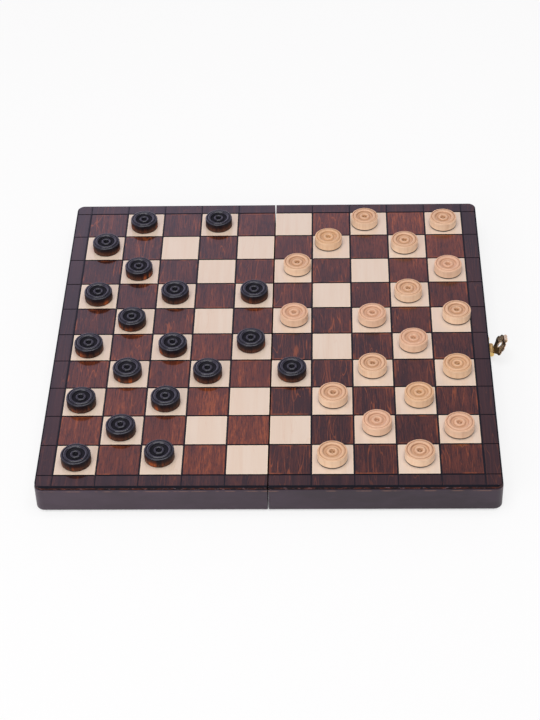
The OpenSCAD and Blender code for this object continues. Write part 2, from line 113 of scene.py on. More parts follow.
class Wiring:
    # short calls for the nodes that every material here is wired from
    def __init__(self, tree):
        self.tree = tree
        tree.nodes.clear()

    def node(self, kind, **settings):
        made = self.tree.nodes.new(kind)
        for name, value in settings.items():
            setattr(made, name, value)
        return made

    def feed(self, socket, value):
        if isinstance(value, bpy.types.NodeSocket):
            self.tree.links.new(value, socket)
        elif isinstance(value, str) and value.startswith("#"):
            socket.default_value = paint(value)
        elif value is not None:
            socket.default_value = value

    def feedAll(self, made, *values):
        for socket, value in zip(made.inputs, values):
            self.feed(socket, value)
        return made

    def feedNamed(self, made, **values):
        for name, value in values.items():
            self.feed(made.inputs[name], value)
        return made

    def math(self, operation, *values):
        return self.feedAll(self.node("ShaderNodeMath", operation=operation), *values).outputs[0]

    def chain(self, operation, first, *others):
        for value in others:
            first = self.math(operation, first, value)
        return first

    def plus(self, *values):
        return self.chain("ADD", *values)

    def times(self, *values):
        return self.chain("MULTIPLY", *values)

    def most(self, *values):
        return self.chain("MAXIMUM", *values)

    def minus(self, a, b):
        return self.math("SUBTRACT", a, b)

    def size(self, value):
        return self.math("ABSOLUTE", value)

    def vector(self, operation, a, b=None):
        made = self.feedAll(self.node("ShaderNodeVectorMath", operation=operation), a, b)
        return made.outputs["Value" if operation in ("LENGTH", "DISTANCE", "DOT_PRODUCT") else "Vector"]

    def objectPlace(self):
        return self.node("ShaderNodeTexCoord").outputs["Object"]

    def split(self, vector):
        return self.feedAll(self.node("ShaderNodeSeparateXYZ"), vector).outputs

    def join(self, x, y, z):
        return self.feedAll(self.node("ShaderNodeCombineXYZ"), x, y, z).outputs[0]

    def stretch(self, vector, scale, slant=0.0, shift=(0, 0, 0)):
        made = self.node("ShaderNodeMapping")
        self.feedNamed(made, Vector=vector, Scale=scale, Rotation=(0, 0, slant), Location=shift)
        return made.outputs[0]

    def noise(self, place, scale, detail=2.0, rough=0.5, slant=0.0, shift=0.0):
        # scale is in waves to a metre, one number or one for each direction
        if not isinstance(scale, tuple):
            scale = (scale, scale, scale)
        made = self.node("ShaderNodeTexNoise")
        place = self.stretch(place, scale, slant, (shift, 0, 0))
        return self.feedNamed(made, Vector=place, Scale=1.0, Detail=detail, Roughness=rough).outputs["Fac"]

    def noises(self, place, looks):
        return {name: self.noise(place, *look) for name, look in looks.items()}

    def chance(self, vector):
        made = self.node("ShaderNodeTexWhiteNoise", noise_dimensions="3D")
        return self.feedAll(made, vector).outputs["Value"]

    def spread(self, value, low, high, toLow=0.0, toHigh=1.0):
        made = self.node("ShaderNodeMapRange", interpolation_type="SMOOTHSTEP")
        return self.feedAll(made, value, low, high, toLow, toHigh).outputs[0]

    def mark(self, value, look):
        # the look says where the mark starts, where it is full, and how strong it is then
        low, high, share = look
        return self.spread(value, low, high, 0.0, share)

    def mix(self, share, a, b):
        made = self.node("ShaderNodeMix", data_type="RGBA")
        for index, value in ((0, share), (6, a), (7, b)):
            self.feed(made.inputs[index], value)
        return made.outputs[2]

    def bump(self, height, distance, strength):
        made = self.node("ShaderNodeBump")
        return self.feedNamed(made, Height=height, Distance=distance, Strength=strength).outputs[0]

    def surface(self, **inputs):
        shader = self.node("ShaderNodeBsdfPrincipled")
        names = {"color": "Base Color", "rough": "Roughness", "metal": "Metallic", "normal": "Normal",
                 "coat": "Coat Weight", "coatRough": "Coat Roughness", "coatNormal": "Coat Normal",
                 "sheen": "Sheen Weight", "sheenRough": "Sheen Roughness", "specular": "Specular IOR Level"}
        for name, value in inputs.items():
            self.feed(shader.inputs[names[name]], value)
        self.feedAll(self.node("ShaderNodeOutputMaterial"), shader.outputs[0])


def newMaterial(name):
    material = bpy.data.materials.new(name)
    material.use_nodes = True
    return material, Wiring(material.node_tree)


def wear(material, *names):
    # the CAD nodes keep their meshes and get this finish
    for name in names:
        mesh = nodes[name].data
        mesh.materials.clear()
        mesh.materials.append(material)


# Playing panels: one sheet of plywood on each half, scored into squares and stained between the scores
board = {
    "square": 32.4 * mm,
    "seam": -0.15 * mm,       # from the middle of the fold to a half's first square, as scored
    "files": 5,               # squares from the middle to the border
    "line": 0.66 * mm,        # half the width of a score
    "lineFade": (0.22 * mm, -0.05 * mm),
    "lineWander": 0.30 * mm,
    "runOut": 0.27 * mm,      # a score runs out so much thinner into the border
    "runOutAt": 0.02,         # of a square, outside the playing field
    "low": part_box("right_panel")[0],
    "top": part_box("right_panel")[1],
    "roundedEdge": 1.2 * mm,
    "blackTo": (-0.1 * mm, 0.2 * mm),         # down from the foot of the rounding
    "blackFrom": (0.40 * mm, 0.5 * mm),       # down from the top
    "blackOnTop": (0.55 * mm, 0.15 * mm),     # inside the rounded edge
    "blackWander": 0.5 * mm,
    "jointLine": (0.50 * mm, 0.25 * mm),      # up from the rail
    "darkDeep": "#34170f",
    "darkWarm": "#68311e",
    "darkGlow": "#a8562a",
    "borderDeep": "#261312",
    "borderWarm": "#381d1a",
    "scoreColor": "#101018",
    "lightBase": "#e1cdba",
    "lightFlame": "#d8b99f",
    "lightRim": "#f7dfc2",
    "lightBleed": "#c98a5c",
    "edgeWood": "#54291f",
    "edgeSpeck": "#a58890",
    "edgeDark": "#161013",
    # waves to a metre in x, y and z, then detail, roughness and slant
    "grain": {
        "fibre": ((640, 20, 60), 5, 0.65, 0.03),
        "streak": ((190, 8, 20), 3, 0.6, 0.05),
        "cloud": ((34, 20, 20), 2),
        "fleck": ((760, 120, 60), 2),
        "pore": ((1300, 120, 60), 3, 0.7, 0.04),
        "rubAndHighlight": ((70, 40, 40), 2),
        "wander": (900, 2),
        "sawn": ((260, 260, 500), 4, 0.7),
        "speck": ((420, 420, 900), 3, 0.7),
        "lacquer": (60, 2),
    },
    # three sets of pale veins: scale, slant and shift
    "veins": (((120, 9, 10), 0.14, 0), ((150, 10, 10), 0.07, 3), ((105, 8, 10), -0.06, 7)),
    "veinLook": (0.008, 0.001),
    "veinClouds": (0.42, 0.58, 0.15, 1.0),
    "veinShares": {"dark": 0.50, "border": 0.14, "bare": 0.12},
    # where the marks in the grain start, where they are full, and their share
    "marks": {
        "rubAndHighlight": (0.47, 0.63, 0.65),
        "hot": (0.95, 1.35, 0.55),
        "fleck": (0.64, 0.76, 0.22),
        "pore": (0.50, 0.34, 0.45),
        "borderStreak": (0.35, 0.68, 1.0),
        "borderHot": (0.9, 1.35, 0.10),
        "bareStreak": (0.35, 0.7, 0.30),
        "bareFibre": (0.58, 0.78, 0.14),
        "bareRim": (1.7 * mm, 1.0 * mm, 0.55),
        "bleed": (0.50 * mm, 0.15 * mm, 0.6),
        "sawn": (0.40, 0.64, 1.0),
        "speck": (0.56, 0.70, 0.5),
    },
    "nearLine": (2.6 * mm, 0.6 * mm),
    "nearLineWander": 2.4 * mm,
    # each sheet is warmer in some parts: places along y and x, and the warmth at each
    # the left one is warmer in front, and the right one at the back
    "warmLeft": ((90 * mm, -150 * mm, 0.26, 0.96), (-150 * mm, -20 * mm, -0.10, 0.10)),
    "warmRight": ((-60 * mm, 180 * mm, 0.02, 0.66), (70 * mm, 120 * mm, 0.0, 0.32)),
    "warmShares": {"streak": 1.1, "fibre": 1.1, "pore": 1.9, "cloud": 0.9, "pick": 0.18},
    "warmest": 1.35,
    "rough": (0.36, 0.62),        # of the lacquered wood, and of what is fully matt
    "scoreMatt": 0.75,
    "specular": 0.1,
    "coatRough": 0.08,
    "grainBump": (0.03 * mm, 0.5),
    "lacquerBump": (0.12 * mm, 0.35),
}


def distanceToScore(w, across, along):
    gaps = []
    for value, other in ((across, along), (along, across)):
        offLine = w.size(w.minus(value, w.math("ROUND", value)))
        outside = w.math("GREATER_THAN", w.size(other), board["files"] + board["runOutAt"])
        gaps.append(w.plus(w.times(offLine, board["square"]), w.times(outside, board["runOut"])))
    return w.math("MINIMUM", *gaps)


def squareMaps(w, across, along, leftSide):
    # 1 on the playing field, 1 on its bare squares, and a chance value for each square
    column = w.math("FLOOR", across)
    row = w.math("FLOOR", along)
    # an odd number of squares is added, so that no count is negative
    count = w.plus(column, row, leftSide, 101.0)
    odd = w.math("GREATER_THAN", w.math("FRACT", w.times(count, 0.5)), 0.25)
    inColumns = w.math("LESS_THAN", across, board["files"])
    inRows = w.math("LESS_THAN", w.size(along), board["files"])
    playing = w.times(inColumns, inRows)
    return playing, w.times(odd, playing), w.chance(w.join(column, row, leftSide))


def veinMap(w, place, cloud):
    vein = 0.0
    for scale, slant, shift in board["veins"]:
        field = w.noise(place, scale, detail=1, slant=slant, shift=shift)
        vein = w.most(vein, w.spread(w.size(w.minus(field, 0.5)), *board["veinLook"]))
    return w.times(vein, w.spread(cloud, *board["veinClouds"]))


def warmthMap(w, x, y, leftSide, grain, pick):
    sides = []
    for alongLook, acrossLook in (board["warmLeft"], board["warmRight"]):
        sides.append(w.plus(w.spread(y, *alongLook), w.spread(x, *acrossLook)))
    warmth = w.plus(w.times(leftSide, sides[0]), w.times(w.minus(1.0, leftSide), sides[1]))
    for name, share in board["warmShares"].items():
        value = pick if name == "pick" else grain[name]
        warmth = w.plus(warmth, w.times(w.minus(value, 0.5), share))
    return w.most(w.math("MINIMUM", warmth, board["warmest"]), 0.0)


def stainedWood(w, warmth, vein, toScore, grain):
    # the squares are rubbed back to the orange wood in places along the scores
    marks = board["marks"]
    wander = w.times(w.minus(grain["fibre"], 0.5), board["nearLineWander"])
    nearLine = w.spread(w.plus(toScore, wander), *board["nearLine"])
    glow = w.most(w.times(w.mark(grain["rubAndHighlight"], marks["rubAndHighlight"]), nearLine),
                  w.times(vein, board["veinShares"]["dark"]),
                  w.mark(warmth, marks["hot"]),
                  w.mark(grain["fleck"], marks["fleck"]))
    dark = w.mix(w.math("MINIMUM", warmth, 1.0), board["darkDeep"], board["darkWarm"])
    dark = w.mix(glow, dark, board["darkGlow"])
    dark = w.mix(w.mark(grain["pore"], marks["pore"]), dark, board["scoreColor"])

    border = w.mix(w.mark(grain["streak"], marks["borderStreak"]), board["borderDeep"], board["borderWarm"])
    border = w.mix(w.mark(warmth, marks["borderHot"]), border, board["darkGlow"])
    border = w.mix(w.times(vein, board["veinShares"]["border"]), border, board["darkGlow"])
    return dark, border


def bareWood(w, vein, toScore, grain):
    # the stain bled a little into the bare squares, and the score's heat left a pale rim
    marks = board["marks"]
    bare = w.mix(w.mark(grain["streak"], marks["bareStreak"]), board["lightBase"], board["lightFlame"])
    bare = w.mix(w.mark(grain["fibre"], marks["bareFibre"]), bare, board["lightBleed"])
    bare = w.mix(w.times(vein, board["veinShares"]["bare"]), bare, board["lightBleed"])
    bare = w.mix(w.mark(toScore, marks["bareRim"]), bare, board["lightRim"])
    bleed = w.minus(toScore, w.times(grain["wander"], board["blackWander"]))
    return w.mix(w.mark(bleed, marks["bleed"]), bare, board["lightBleed"])


def panelEdge(w, x, y, z, grain):
    # the rounded edge is black, and the sawn edge under it shows rubbed wood down to the joint
    marks = board["marks"]
    low, top, edge = board["low"], board["top"], board["roundedEdge"]
    sawn = w.mix(w.mark(grain["sawn"], marks["sawn"]), board["edgeDark"], board["edgeWood"])
    sawn = w.mix(w.mark(grain["speck"], marks["speck"]), sawn, board["edgeSpeck"])
    sawn = w.mix(w.spread(z, *(low.z + rise for rise in board["jointLine"])), sawn, board["edgeDark"])
    depth = w.minus(top.z, z)
    below = w.spread(depth, *(edge + drop for drop in board["blackTo"]))
    color = w.mix(below, board["scoreColor"], sawn)
    inward = w.math("MINIMUM", w.minus(top.x, w.size(x)), w.minus(top.y, w.size(y)))
    inward = w.plus(inward, w.times(grain["wander"], board["blackWander"]))
    onTop = w.spread(inward, *(edge + width for width in board["blackOnTop"]))
    return color, w.most(w.spread(depth, *board["blackFrom"]), onTop)


def panelMaterial():
    material, w = newMaterial("scoredAndStainedPanel")
    place = w.objectPlace()
    x, y, z = w.split(place)
    leftSide = w.math("LESS_THAN", x, 0.0)

    # squares are counted from the fold and from the middle row
    across = w.math("DIVIDE", w.minus(w.size(x), board["seam"]), board["square"])
    along = w.math("DIVIDE", y, board["square"])
    toScore = distanceToScore(w, across, along)
    playing, light, pick = squareMaps(w, across, along, leftSide)

    # the grain runs from front to back, a little aslant
    grain = w.noises(place, board["grain"])
    vein = veinMap(w, place, grain["cloud"])
    warmth = warmthMap(w, x, y, leftSide, grain, pick)
    dark, border = stainedWood(w, warmth, vein, toScore, grain)
    color = w.mix(playing, border, dark)
    color = w.mix(light, color, bareWood(w, vein, toScore, grain))

    ragged = w.plus(toScore, w.times(w.minus(grain["wander"], 0.5), board["lineWander"]))
    score = w.spread(ragged, *(board["line"] + fade for fade in board["lineFade"]))
    color = w.mix(score, color, board["scoreColor"])
    edgeColor, onEdge = panelEdge(w, x, y, z, grain)
    color = w.mix(onEdge, color, edgeColor)

    # the burnt scores and the blackened edge are matt
    matt = w.most(w.times(score, board["scoreMatt"]), onEdge)
    w.surface(color=color, rough=w.spread(matt, 0.0, 1.0, *board["rough"]), specular=board["specular"],
              normal=w.bump(grain["fibre"], *board["grainBump"]), coat=w.minus(1.0, matt),
              coatRough=board["coatRough"], coatNormal=w.bump(grain["lacquer"], *board["lacquerBump"]))
    return material


# Rails: stained and rubbed down, with a satin lacquer
rails = {
    "deep": "#31262e",
    "pale": "#3d303b",
    "pore": "#1f171b",
    "paintedLightLeft": "#574854",       # painted light: the left end is painted lighter, where more light falls from the left
    "rub": "#8a6354",
    "joint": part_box("right_front_rail")[1].z,
    "rubFrom": (0.5 * mm, 1.0 * mm),          # below the joint
    "rubTo": (1.9 * mm, 1.3 * mm),
    "grain": {
        "cloud": ((26, 26, 70), 3, 0.6),
        "fibre": ((30, 30, 900), 4, 0.6),
        "broken": ((110, 110, 40), 3),
    },
    "marks": {
        "cloud": (0.35, 0.68, 1.0),
        "pore": (0.5, 0.8, 0.22),
        # painted light from the left, across the rail
        "paintedLightLeft": (175 * mm, -170 * mm, 0.36),
        "broken": (0.42, 0.62, 0.55),
    },
    "bump": (0.04 * mm, 0.4),
    "rough": 0.40,
    "specular": 0.35,
}


def railMaterial():
    material, w = newMaterial("stainedRail")
    place = w.objectPlace()
    x, _, z = w.split(place)
    marks = rails["marks"]
    # the fibres lie level, along every rail
    grain = w.noises(place, rails["grain"])
    color = w.mix(w.mark(grain["cloud"], marks["cloud"]), rails["deep"], rails["pale"])
    color = w.mix(w.mark(grain["fibre"], marks["pore"]), color, rails["pore"])
    # painted light: the rail is painted lighter towards its left end
    color = w.mix(w.mark(x, marks["paintedLightLeft"]), color, rails["paintedLightLeft"])
    below = w.minus(rails["joint"], z)
    line = w.times(w.spread(below, *rails["rubFrom"]), w.spread(below, *rails["rubTo"]))
    color = w.mix(w.times(line, w.mark(grain["broken"], marks["broken"])), color, rails["rub"])
    w.surface(color=color, rough=rails["rough"], specular=rails["specular"],
              normal=w.bump(grain["fibre"], *rails["bump"]))
    return material


# Men, turned from beech dowels. Their sizes are in millimetres.
men = {
    "radius": 11.5,
    "height": 8.4,
    "edge": 0.9,
    "rimDrop": 0.35,
    "foot": 0.4,
    "dish": 1.5,
    "bead": (8.395, 1.495),    # distance of its middle from the axis, and radius
    "ring": (3.22, 1.265),
    "ringSink": 0.2,
    "dimple": (2.208, 0.5),    # radius and depth
    "pip": (0.575, 0.5, 0.3),  # radius, height and rounding
    "wallAt": 9.69,
    "groove": 0.35,
    "pocket": (5.1, 2.0),      # radius and depth
    "nick": 0.1,               # what is taken off a small edge
    "segments": 80,
    "weld": 0.004,
    "seeds": {"darkMenLeft": 7, "darkManRight": 17, "lightMen": 27},
    "lineFull": 0.3,           # the full part of a drawn line, as a share of its half width
}


def arc(cx, cz, radius, start, end, steps):
    # points on an arc, in degrees counted from +X
    angles = [math.radians(start + (end - start) * i / steps) for i in range(steps + 1)]
    return [(cx + radius * math.cos(a), cz + radius * math.sin(a)) for a in angles]


def manOutline():
    # half section from the axis under the foot, round the outside, to the axis on top
    r, h, e, f, n = men["radius"], men["height"], men["edge"], men["foot"], men["nick"]
    pocketR, pocketH = men["pocket"]
    beadAt, beadR = men["bead"]
    ringAt, ringR = men["ring"]
    dimpleR, dimpleD = men["dimple"]
    pipR, pipH, pipRound = men["pip"]
    floor = h - men["dish"]
    rim = h - men["rimDrop"]
    wall = men["wallAt"]
    groove = men["groove"]
    line = [(0, pocketH), (pocketR - n, pocketH), (pocketR, pocketH - n), (pocketR, n), (pocketR + n, 0)]
    line += [(r - f - n, 0)] + arc(r - f, f, f, -90, 0, 4) + [(r, f + n), (r, rim - e - 1.5 * n)]
    line += arc(r - e, rim - e, e, 0, 90, 7) + [(wall + groove + 1.2 * n, rim)]
    # the bead's outer flank meets the groove, and its inner flank runs down into the dish
    line += arc(wall, rim, groove, 0, -172, 7) + arc(beadAt, h - beadR, beadR, 54, 172, 14)
    inner = ringAt + math.sqrt(ringR ** 2 - men["ringSink"] ** 2)
    line += [(beadAt - beadR - 1.5 * n, floor), (inner + 1.5 * n, floor)]
    base = math.degrees(math.asin(men["ringSink"] / ringR))
    stop = math.degrees(math.acos((dimpleR - ringAt) / ringR))
    line += arc(ringAt, floor - men["ringSink"], ringR, base, stop, 10)
    bottom = floor - dimpleD
    line += [(dimpleR, bottom + n), (dimpleR - n, bottom)]
    line += [(pipR + 0.8 * n, bottom), (pipR, bottom + 0.8 * n)]
    line += arc(pipR - pipRound, bottom + pipH - pipRound, pipRound, 0, 90, 4) + [(0, bottom + pipH)]
    return line


def wireObject(name, points):
    mesh = bpy.data.meshes.new(name)
    mesh.from_pydata(points, [(i, i + 1) for i in range(len(points) - 1)], [])
    made = bpy.data.objects.new(name, mesh)
    bpy.context.scene.collection.objects.link(made)
    return made


class GeoWiring(Wiring):
    # the same short calls for a Geometry Nodes tree, with named inputs
    def __init__(self, name, inputs):
        tree = bpy.data.node_groups.new(name, "GeometryNodeTree")
        super().__init__(tree)
        tree.interface.new_socket("Geometry", in_out="INPUT", socket_type="NodeSocketGeometry")
        tree.interface.new_socket("Geometry", in_out="OUTPUT", socket_type="NodeSocketGeometry")
        self.ids = {}
        for label, kind in inputs:
            self.ids[label] = tree.interface.new_socket(label, in_out="INPUT", socket_type=kind).identifier
        self.given = self.node("NodeGroupInput").outputs
        self.result = self.node("NodeGroupOutput").inputs[0]

    def put(self, kind, settings=None, **values):
        # a node with the values of its named inputs, where an underscore in a name stands for a space
        made = self.node(kind, **(settings or {}))
        for name, value in values.items():
            self.feed(made.inputs[name.replace("_", " ")], value)
        return made.outputs[0]

    def run(self, target, **values):
        # the modifier's inputs are set by their identifiers, and its result becomes a plain mesh
        modifier = target.modifiers.new("build", "NODES")
        modifier.node_group = self.tree
        for label, value in values.items():
            modifier[self.ids[label]] = value
        bpy.context.view_layer.update()
        depsgraph = bpy.context.evaluated_depsgraph_get()
        evaluated = target.evaluated_get(depsgraph)
        mesh = bpy.data.meshes.new_from_object(evaluated, preserve_all_data_layers=True,
                                               depsgraph=depsgraph)
        target.modifiers.clear()
        return mesh


def turnedMan(g):
    # a sheet of points, one row for each place round the axis, bent round it and welded
    given = g.given
    outline = g.node("GeometryNodeObjectInfo")
    g.feed(outline.inputs["Object"], given["profile"])
    outline = outline.outputs["Geometry"]
    pointCount = g.put("GeometryNodeAttributeDomainSize", Geometry=outline)
    position = g.node("GeometryNodeInputPosition").outputs[0]
    rows = g.plus(given["segments"], 1)
    sheet = g.put("GeometryNodeMeshGrid", Size_X=1.0, Size_Y=1.0, Vertices_X=pointCount, Vertices_Y=rows)
    spot = g.split(position)
    index = g.math("ROUND", g.times(g.plus(spot[0], 0.5), g.minus(pointCount, 1)))
    sampled = g.put("GeometryNodeSampleIndex", {"data_type": "FLOAT_VECTOR"},
                    Geometry=outline, Value=position, Index=index)
    outlineAt = g.split(sampled)
    angle = g.times(g.plus(spot[1], 0.5), 2 * math.pi)
    turned = g.join(g.times(outlineAt[0], g.math("COSINE", angle)),
                    g.times(outlineAt[0], g.math("SINE", angle)), outlineAt[2])
    bent = g.put("GeometryNodeSetPosition", Geometry=sheet, Position=turned)
    welded = g.put("GeometryNodeMergeByDistance", Geometry=bent, Distance=given["weld"])
    smooth = g.put("GeometryNodeSetShadeSmooth", Geometry=welded)
    # each man remembers where a point lies in its own wood
    return g.put("GeometryNodeStoreNamedAttribute", {"data_type": "FLOAT_VECTOR", "domain": "POINT"},
                 Geometry=smooth, Name="manPlace", Value=position)


def turningTree():
    g = GeoWiring("turnAndStandMen", [
        ("profile", "NodeSocketObject"), ("segments", "NodeSocketInt"), ("seed", "NodeSocketInt"),
        ("weld", "NodeSocketFloat"), ("finish", "NodeSocketMaterial"),
    ])
    given = g.given
    man = turnedMan(g)
    spin = g.node("FunctionNodeRandomValue", data_type="FLOAT")
    g.feed(spin.inputs[3], 2 * math.pi)
    g.feed(spin.inputs["Seed"], given["seed"])
    stood = g.put("GeometryNodeInstanceOnPoints", Points=given["Geometry"], Instance=man,
                  Rotation=g.join(0.0, 0.0, spin.outputs[1]))
    # each man also gets a chance value of its own
    pick = g.node("FunctionNodeRandomValue", data_type="FLOAT")
    g.feed(pick.inputs["Seed"], g.plus(given["seed"], 1))
    tagged = g.put("GeometryNodeStoreNamedAttribute", {"data_type": "FLOAT", "domain": "INSTANCE"},
                   Geometry=stood, Name="manPick", Value=pick.outputs[1])
    real = g.put("GeometryNodeRealizeInstances", Geometry=tagged)
    coated = g.put("GeometryNodeSetMaterial", Geometry=real, Material=given["finish"])
    g.feed(g.result, coated)
    return g


def manCentre(name):
    low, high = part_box(name)
    return Vector(((low.x + high.x) / 2, (low.y + high.y) / 2, low.z))


def standMen(tree, name, members, body, finish):
    outline = wireObject("manOutline", [(x * mm, 0, z * mm) for x, z in manOutline()])
    places = wireObject("menPlaces", [manCentre(member) for member in members])
    mesh = tree.run(places, profile=outline, segments=men["segments"], seed=men["seeds"][name],
                    weld=men["weld"] * mm, finish=finish)
    for helper in (outline, places):
        bpy.data.objects.remove(helper)
    piece = bpy.data.objects.new(name, mesh)
    bpy.context.scene.collection.objects.link(piece)
    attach(piece, body)
    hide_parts(*members)
    print(name, "made of", len(members), "men with", len(mesh.polygons), "faces")


def manCoordinates(w, apart):
    # place in the wood, moved apart so that no two men share their grain, then the man's chance value,
    # and the distance from its axis and the height over its foot
    kept = {"attribute_type": "GEOMETRY"}
    place = w.node("ShaderNodeAttribute", attribute_name="manPlace", **kept).outputs["Vector"]
    pick = w.node("ShaderNodeAttribute", attribute_name="manPick", **kept).outputs["Fac"]
    x, y, z = w.split(place)
    radius = w.math("SQRT", w.plus(w.times(x, x), w.times(y, y)))
    moved = w.vector("ADD", place, w.join(w.times(pick, apart[0]), w.times(pick, apart[1]), 0.0))
    return moved, pick, radius, z


def topLines(w, radius, lines):
    # soft rings round the axis: distance, half width and share of each
    drawn = 0.0
    for at, width, share in lines:
        gap = w.size(w.minus(radius, at * mm))
        drawn = w.most(drawn, w.mark(gap, (width * mm, width * men["lineFull"] * mm, share)))
    return drawn


def fromTop(*drops):
    # heights over the foot, of places so many millimetres under the top
    return [(men["height"] - drop) * mm for drop in drops]


def fromSide(*insets):
    return [(men["radius"] - inset) * mm for inset in insets]


# Dark men: stained brown, and the top dipped black
darkMen = {
    "top": "#15141b",
    # a bluish painted highlight for the crests of the top
    "dish": "#131217",
    # a shade darker than the top, as painted shade in the dish and the groove
    "crestHighlight": "#33343f",
    "side": "#502a1d",
    "patch": "#b8561f",
    "greyish": "#745747",
    "foot": "#1c100e",
    "chip": "#b0603a",
    "apart": (3.0, 1.7),
    "grain": {
        "streak": ((330, 330, 28), 4, 0.65),
        "patch": ((95, 95, 36), 2),
        "grit": (1300, 2),
        # this noise breaks up the painted highlight on the crests of the dark men
        "rubAndHighlight": (500, 3),
        "uneven": ((420, 420, 160), 3),
    },
    "marks": {
        "streak": (0.42, 0.70, 1.0),
        "patch": (0.52, 0.66, 0.8),
        "paleStreak": (0.58, 0.40, 1.0),
        "grit": (0.40, 0.66, 1.0),
        "blackTowardsTop": (2.2 * mm, 5.8 * mm, 0.85),
        "foot": (0.9 * mm, 0.3 * mm, 1.0),
        "rubAndHighlight": (0.48, 0.70, 0.45),
        "chip": (0.95 * mm, 0.6 * mm, 1.0),
    },
    "greyishLow": (4.6 * mm, 1.6 * mm, 0.08, 0.42),    # heights, and the share of the greyish colour at each
    "ragged": 1.6 * mm,        # how far the dip's edge goes up and down
    "dipFrom": (1.7, 1.2),     # under the top, in millimetres
    "crestFrom": (1.2, 0.4),
    "rimFrom": (0.2, 0.4),     # in from the side
    "grooveShade": 0.55,
    "chipped": "dark_man_17",
    "chipAt": (5.0, -4.8, 0.4),    # from the man's axis, and under its top
    "chipWide": 0.75,          # width of the chip, as a share of its length from front to back
    "rough": 0.5,
    "specular": 0.12,
    "sideCoat": 0.05,
    "coatRough": 0.15,
    "bump": (0.10 * mm, 0.45),
}


def darkManSide(w, grain, z, ragged):
    marks = darkMen["marks"]
    side = w.mix(w.mark(grain["streak"], marks["streak"]), darkMen["side"], darkMen["foot"])
    warm = w.times(w.mark(grain["patch"], marks["patch"]), w.mark(grain["streak"], marks["paleStreak"]))
    side = w.mix(warm, side, darkMen["patch"])
    # the side is greyer towards its foot
    greyish = w.times(w.mark(grain["grit"], marks["grit"]), w.spread(z, *darkMen["greyishLow"]))
    side = w.mix(greyish, side, darkMen["greyish"])
    # the side turns black towards its top
    side = w.mix(w.mark(w.plus(z, ragged), marks["blackTowardsTop"]), side, darkMen["top"])
    return w.mix(w.mark(z, marks["foot"]), side, darkMen["foot"])


def darkManMaterial():
    material, w = newMaterial("darkMan")
    moved, _, radius, z = manCoordinates(w, darkMen["apart"])
    marks = darkMen["marks"]
    grain = w.noises(moved, darkMen["grain"])
    ragged = w.times(w.minus(grain["patch"], 0.5), darkMen["ragged"])
    side = darkManSide(w, grain, z, ragged)

    # the top is black, painted a shade darker in the dish as painted shade, with a bluish painted highlight
    # on the crests that a noise breaks up
    dipped = w.spread(w.plus(z, ragged), *fromTop(*darkMen["dipFrom"]))
    onTop = w.most(dipped, w.spread(radius, *fromSide(*darkMen["rimFrom"])))
    crestHighlight = w.spread(z, *fromTop(*darkMen["crestFrom"]))
    top = w.mix(crestHighlight, darkMen["dish"], darkMen["top"])
    top = w.mix(w.times(crestHighlight, w.mark(grain["rubAndHighlight"], marks["rubAndHighlight"])), top, darkMen["crestHighlight"])
    color = w.mix(onTop, side, top)

    # one man has a chip in its bead that shows the wood
    alongX, alongY, drop = darkMen["chipAt"]
    chip = manCentre(darkMen["chipped"]) + Vector((alongX, alongY, men["height"] - drop)) * mm
    wide = darkMen["chipWide"]
    squeezed = w.stretch(w.objectPlace(), (1, wide, 1), shift=(0, chip.y * (1 - wide), 0))
    color = w.mix(w.mark(w.vector("DISTANCE", squeezed, chip), marks["chip"]), color, darkMen["chip"])

    # painted shade: the groove between rim and bead is painted darker, and has no coat
    groove = topLines(w, radius, ((men["wallAt"], darkMen["grooveShade"], 1.0),))
    color = w.mix(w.times(groove, onTop), color, darkMen["dish"])
    coat = w.times(w.spread(onTop, 0.0, 1.0, darkMen["sideCoat"], crestHighlight), w.minus(1.0, groove))
    uneven = w.bump(grain["uneven"], *darkMen["bump"])
    w.surface(color=color, rough=darkMen["rough"], specular=darkMen["specular"], normal=uneven,
              coat=coat, coatRough=darkMen["coatRough"], coatNormal=uneven)
    return material


# Light men: bare wood, with the marks of the tool on top
lightMen = {
    "top": "#e0b794",
    # painted shade: the dish is a shade darker than the crests
    "dish": "#d3a782",
    "rosy": "#e0ac92",
    "gold": "#d8a870",
    "side": "#ffddbc",
    "streak": "#d2986c",
    # dark brown of the tool rings and the pores, and of the painted shade in the groove and at the dish's
    # edges
    "groove": "#8f5733",
    # painted shade in the dimple round the pip
    "dimple": "#966a42",
    "shadowLine": "#2a1e13",
    "apart": (2.0, 5.0),
    "grain": {"streak": ((330, 330, 26), 3, 0.62), "pore": ((1500, 1500, 300), 1)},
    "toolWaves": 1500,         # to a metre, out from the axis
    "toolApart": 40,
    "arcs": {"Scale": 260, "Distortion": 5.0, "Detail": 2, "Detail Scale": 1.2},
    "marks": {
        "streak": (0.42, 0.72, 0.28),
        "tooled": (0.42, 0.66, 0.20),
        "arcs": (0.55, 1.0, 0.22),
        "pore": (0.66, 0.76, 0.30),
        "rosy": (0.55, 0.95, 0.32),      # of the men's chance values
        "gold": (0.40, 0.05, 0.30),
        "shadowLine": (1.3 * mm, 0.9 * mm, 1.0),
    },
    # distance from the axis, half width and share of each line, in millimetres; the lines at the groove and
    # at the dish's edges are painted shade
    "lines": ((9.85, 0.50, 0.66), (6.85, 0.45, 0.50), (4.75, 0.42, 0.46), (8.4, 0.25, 0.12)),
    "dimpleFrom": (2.1 * mm, 1.7 * mm),
    "dimpleTo": (0.5 * mm, 0.9 * mm),
    "crestFrom": (1.4, 0.3),   # under the top, in millimetres
    "topFrom": (1.0, 0.6),
    "rimFrom": (0.2, 0.5),     # in from the side
    "bump": (0.05 * mm, 0.5),
    "rough": 0.38,
    "specular": 0.45,
}


